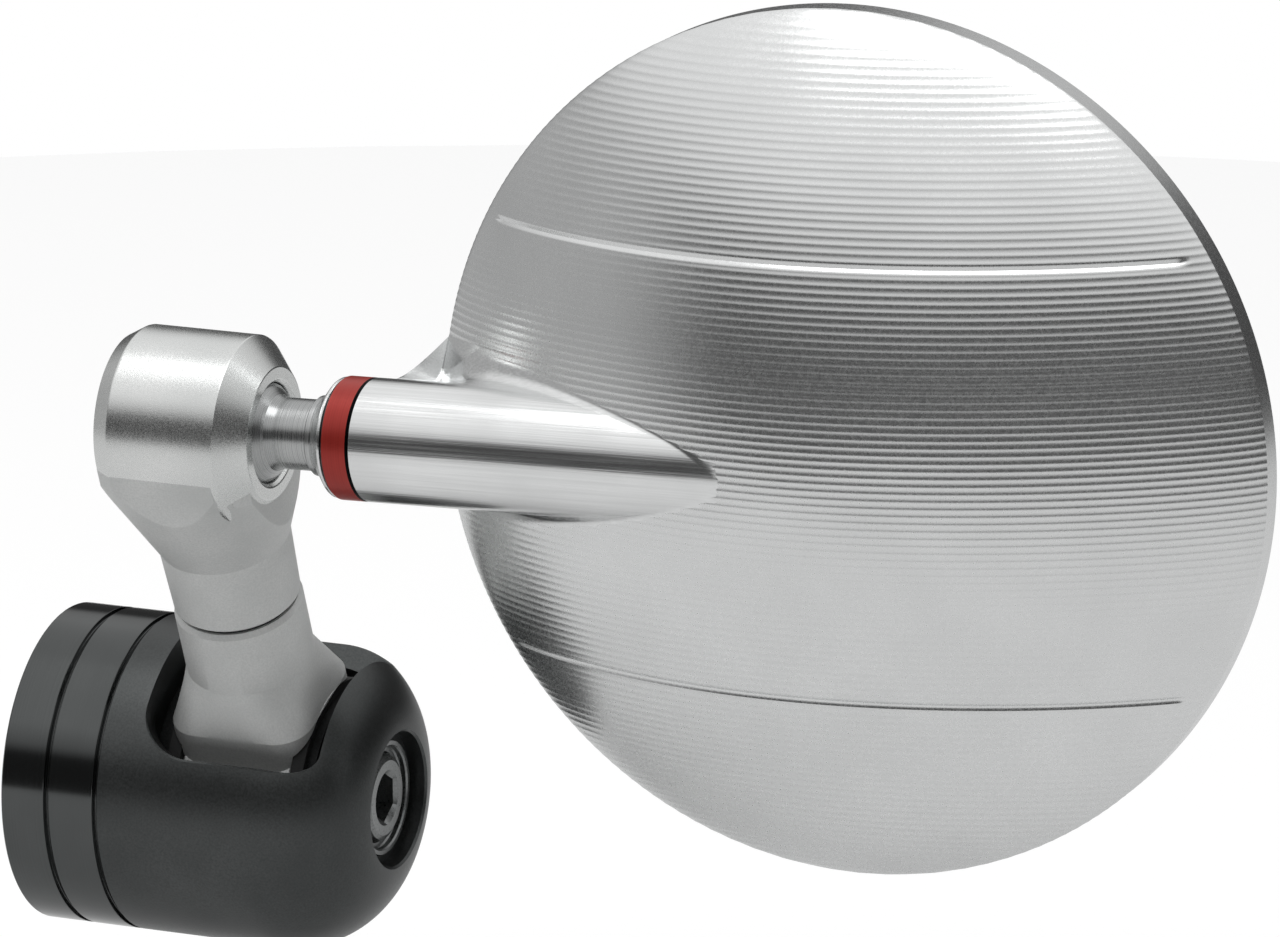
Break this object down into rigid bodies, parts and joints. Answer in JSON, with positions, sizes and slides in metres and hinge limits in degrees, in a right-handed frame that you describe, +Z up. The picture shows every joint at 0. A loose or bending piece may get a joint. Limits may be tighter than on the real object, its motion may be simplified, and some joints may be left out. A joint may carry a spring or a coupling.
{
  "type": "motorcycle bar end mirror",
  "caption": "Round bar end mirror with a domed aluminium back on a ball joint, a swivelling two-piece arm and a black slotted clamp housing.",
  "frame": {"origin": "centre of the end ring's inboard face, which seats on the handlebar's end", "axes": "+X outboard along the handlebar, +Z up at rest, +Y towards the rider's side, which the glass faces"},
  "size_m": [0.1521, 0.0479, 0.1145],
  "materials": {
    "silver_anodised": "turned, satin anodised",
    "black_anodised": "black anodised, fine blasted",
    "gloss_black_anodised": "black anodised, turned",
    "ground_steel": "ground steel",
    "zinc_screw": "zinc plated",
    "red_anodised": "red anodised",
    "black_rubber": "black rubber",
    "friction_composite": "black friction composite",
    "acetal": "natural acetal",
    "spring_steel": "spring steel",
    "mirror_glass": "silvered glass"
  },
  "bodies": {
    "clamp": {"end_ring": "gloss_black_anodised", "middle_ring": "gloss_black_anodised", "clamp_housing": "black_anodised", "pivot_bush": "ground_steel", "clamp_screw": "zinc_screw", "thrust_disc_in": "ground_steel", "friction_disc_in": "friction_composite", "friction_disc_out": "friction_composite", "thrust_disc_out": "ground_steel", "pivot_spring": "spring_steel"},
    "lower_arm": {"arm_foot": "silver_anodised", "swivel_grub": "zinc_screw", "swivel_pad": "black_rubber"},
    "upper_arm": {"arm_head": "silver_anodised", "disc_spring_a": "spring_steel", "disc_spring_b": "spring_steel", "tension_plug": "silver_anodised"},
    "seats": {"ball_seat_front": "acetal", "ball_seat_rear": "acetal"},
    "collar": {"neck_seal": "ground_steel"},
    "mirror": {"ball_stud": "ground_steel", "sleeve_end_cap": "silver_anodised", "accent_ring": "red_anodised", "mirror_shell": "silver_anodised", "glass_pad": "black_rubber", "mirror_glass": "mirror_glass"}
  },
  "joints": [
    {"name": "arm_swing", "type": "hinge", "parent": "clamp", "child": "lower_arm", "pos_m": [0.026, 0, 0], "axis": [1, 0, 0], "range_deg": [-28, 10]},
    {"name": "arm_swivel", "type": "hinge", "parent": "lower_arm", "child": "upper_arm", "pos_m": [0.026, -0.01025, 0.02465], "axis": [0, -0.384, 0.9233], "range_deg": [-90, 90]},
    {"name": "ball_turn", "type": "hinge", "parent": "upper_arm", "child": "seats", "pos_m": [0.03, -0.01935, 0.04654], "axis": [1, 0, 0], "range_deg": [-180, 180]},
    {"name": "ball_tilt", "type": "hinge", "parent": "seats", "child": "collar", "pos_m": [0.03, -0.01935, 0.04654], "axis": [0, -0.7354, -0.6776], "range_deg": [-17, 12]},
    {"name": "ball_spin", "type": "hinge", "parent": "collar", "child": "mirror", "pos_m": [0.03, -0.01935, 0.04654], "axis": [0.9988, -0.033, 0.0358], "range_deg": [-180, 180]}
  ]
}
